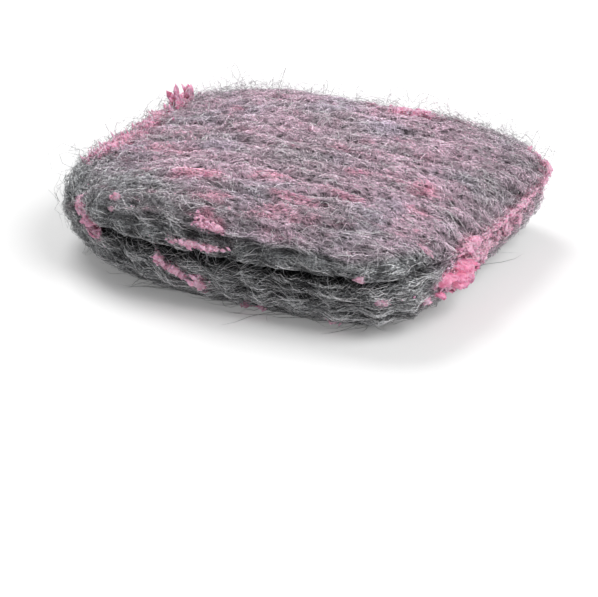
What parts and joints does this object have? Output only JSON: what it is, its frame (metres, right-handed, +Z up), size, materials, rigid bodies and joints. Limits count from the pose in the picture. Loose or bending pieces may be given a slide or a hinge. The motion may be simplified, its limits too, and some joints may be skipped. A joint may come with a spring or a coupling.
{
  "type": "steel wool pad",
  "caption": "Soft rounded rectangular scouring pad of folded fine steel wool, with a fold line round its sides and dried pink soap crusts on its edges.",
  "frame": {"origin": "middle of the pad's plan, on the surface it rests on", "axes": "+X along the pad's long side towards the end with the lip, +Y towards the back, +Z up"},
  "size_m": [0.0784, 0.0648, 0.0194],
  "materials": {
    "steel_wool": "fine grey steel fibres in layers, satin, tinted mauve by soap on top",
    "dried_soap": "dried pink soap, pitted and crumbly, matt"
  },
  "bodies": {
    "root": {"wool_pad": "steel_wool", "soap_chunk_corner": "dried_soap", "soap_crust_lip_front": "dried_soap", "soap_crust_lip_strip": "dried_soap", "soap_crust_back_right_rim": "dried_soap", "soap_crust_back_left_peak": "dried_soap", "soap_crust_left_back_edge": "dried_soap", "soap_crust_left_front_edge": "dried_soap", "soap_crust_front_left": "dried_soap", "soap_crust_front_shoulder": "dried_soap", "soap_crust_front_strip": "dried_soap", "soap_crust_front_lower": "dried_soap", "soap_crust_front_base": "dried_soap", "soap_crust_back_shoulder": "dried_soap", "soap_fleck_upper_left": "dried_soap", "soap_fleck_groove": "dried_soap", "soap_fleck_right_side": "dried_soap", "soap_fleck_base_left": "dried_soap", "soap_fleck_base_middle": "dried_soap", "soap_fleck_base_right": "dried_soap", "soap_fleck_corner": "dried_soap"}
  },
  "joints": []
}
